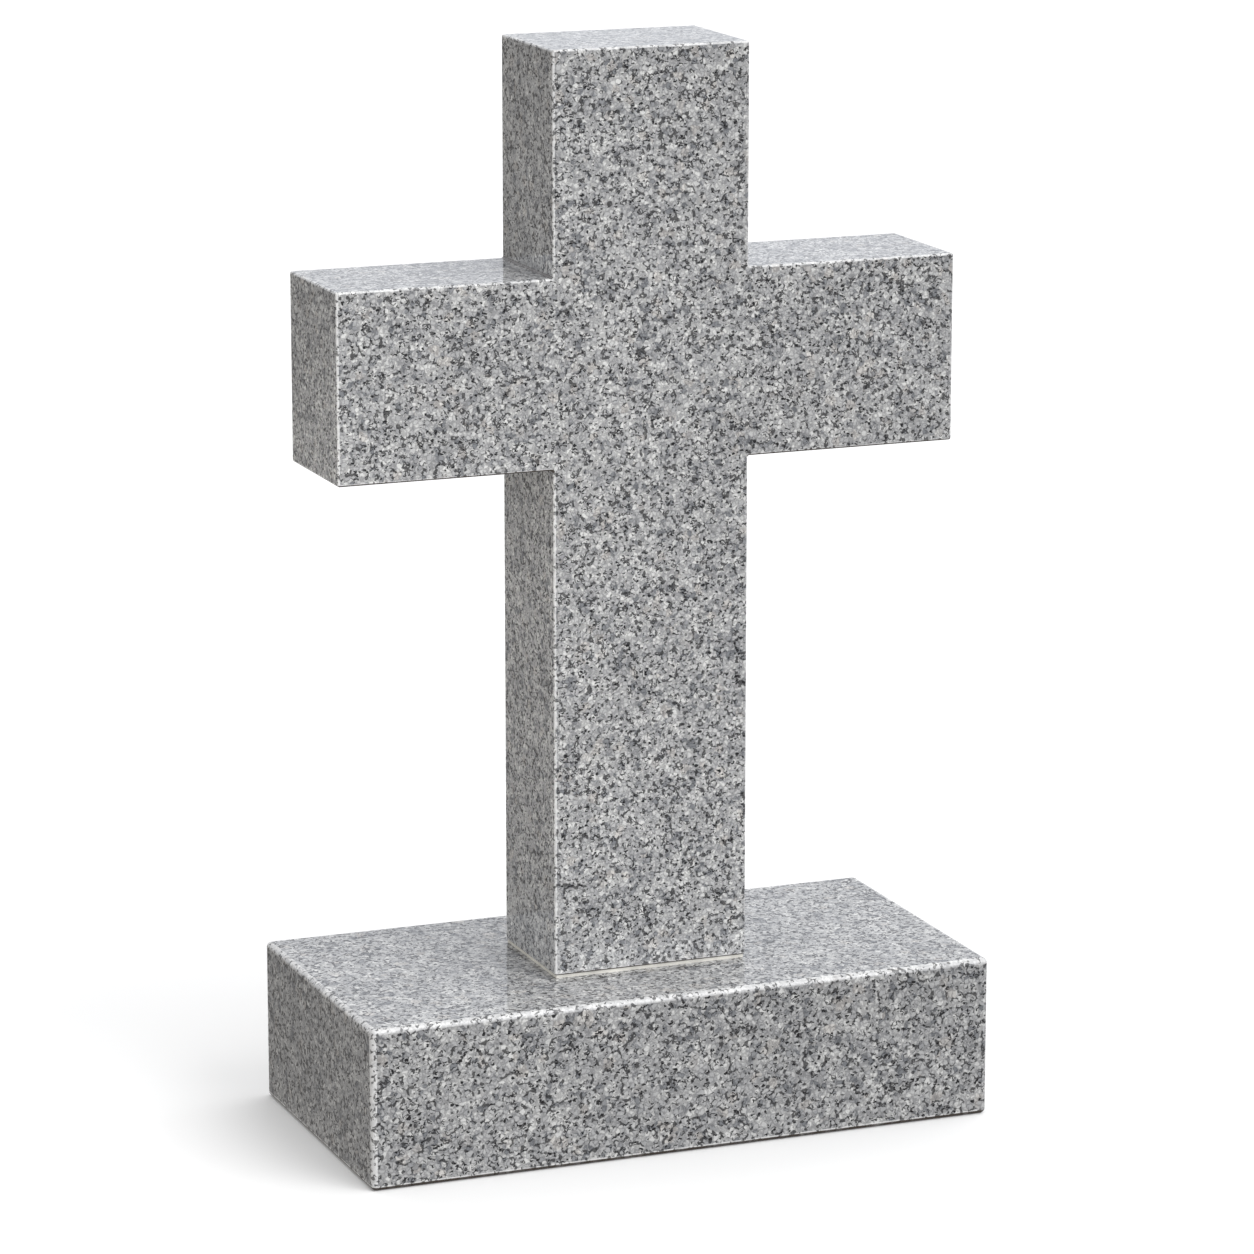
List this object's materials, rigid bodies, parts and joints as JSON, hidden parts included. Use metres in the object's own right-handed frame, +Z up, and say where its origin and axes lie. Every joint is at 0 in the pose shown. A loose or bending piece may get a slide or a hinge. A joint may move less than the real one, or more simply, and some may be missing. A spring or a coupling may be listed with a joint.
{
  "type": "cross headstone",
  "caption": "Polished granite cross headstone: a one-piece Latin cross set on a rectangular base stone.",
  "frame": {"origin": "centre of the base stone's underside, on the ground", "axes": "+Z up; +X to the right seen from the front; +Y from the front face to the back"},
  "size_m": [0.61, 0.305, 1.01],
  "materials": {
    "granite": "polished light grey granite with black mica flecks",
    "setting_compound": "off-white monument setting compound, matt",
    "stainless_steel": "plain round bar"
  },
  "bodies": {
    "root": {"base": "granite", "setting_bed": "setting_compound", "dowel_left": "stainless_steel", "dowel_right": "stainless_steel", "cross": "granite"}
  },
  "joints": []
}
